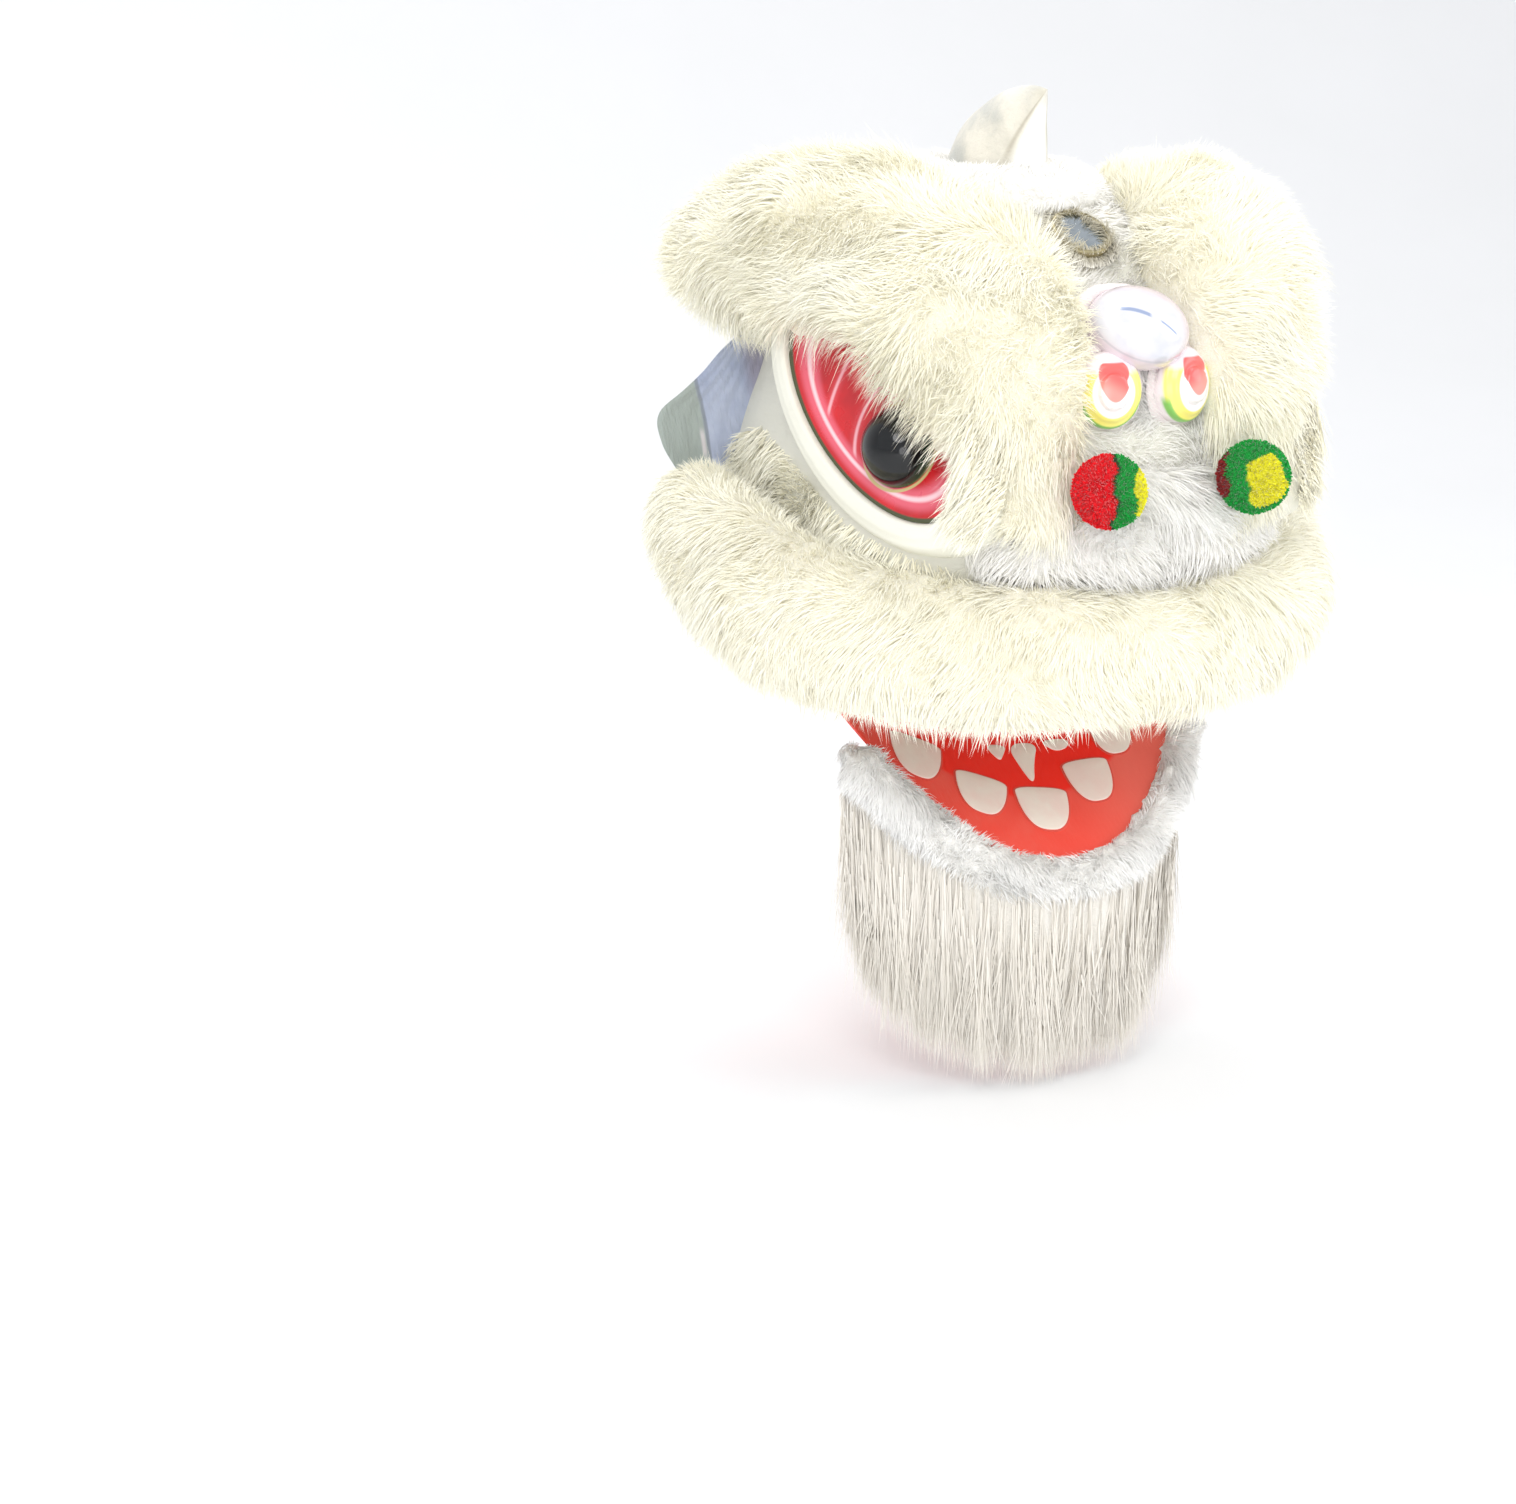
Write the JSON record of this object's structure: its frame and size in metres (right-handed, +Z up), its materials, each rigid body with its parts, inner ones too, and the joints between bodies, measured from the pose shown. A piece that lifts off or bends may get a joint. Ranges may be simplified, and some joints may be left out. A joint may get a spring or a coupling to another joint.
{
  "type": "lion dance head",
  "caption": "Worn head of a southern lion dance costume: hollow shell, thick cream fur brows and lip, horn, red eyes and a hinged jaw with a beard.",
  "frame": {"origin": "middle of the carrying bar that crosses the inside of the head", "axes": "+Z up through the horn, -Y the way the lion looks, +X to the lion's left, along the carrying bar"},
  "size_m": [0.7422, 0.5966, 1.0207],
  "materials": {
    "shell": "papier-mache, painted white",
    "cream_fur": "long cream fur on a cloth backing",
    "white_fur": "short white fur",
    "beard_hair": "long straight greyish-white hair",
    "eye_panel": "gloss red paint with pink lines",
    "pupil": "gloss black",
    "nose": "gloss white lacquer",
    "nostril": "gloss paint, pink inside a yellow and green rim",
    "mirror_glass": "small round mirror",
    "gilt_frame": "satin gilt",
    "horn": "papier-mache, cream lacquer",
    "pompom_wool": "wool in red, green and yellow",
    "spring_wire": "brass-coloured wire",
    "ear_satin": "pale blue satin",
    "jaw_board": "gloss red paint with cream teeth",
    "pin_steel": "plain",
    "bar_wood": "plain batten"
  },
  "bodies": {
    "head": {"head_shell": "shell", "eye_socket_right": "shell", "eye_socket_left": "shell", "eye_panel_right": "eye_panel", "eye_panel_left": "eye_panel", "pupil_right": "pupil", "pupil_left": "pupil", "nose_bulb": "nose", "nostril_right": "nostril", "nostril_left": "nostril", "mirror": "mirror_glass", "mirror_frame": "gilt_frame", "horn": "horn", "horn_collar": "white_fur", "brow_fur_right": "cream_fur", "brow_fur_left": "cream_fur", "lip_fur": "cream_fur", "muzzle_fur": "white_fur", "pompom_right": "pompom_wool", "pompom_left": "pompom_wool", "pompom_spring_right": "spring_wire", "pompom_spring_left": "spring_wire", "ear_right": "ear_satin", "ear_left": "ear_satin", "jaw_pin_right": "pin_steel", "jaw_pin_left": "pin_steel", "carry_bar": "bar_wood"},
    "jaw": {"jaw_board": "jaw_board", "jaw_fur": "white_fur", "beard": "beard_hair"}
  },
  "joints": [
    {"name": "jaw_hinge", "type": "hinge", "parent": "head", "child": "jaw", "pos_m": [0, 0.05, -0.08], "axis": [1, 0, 0], "range_deg": [-22, 0]}
  ]
}
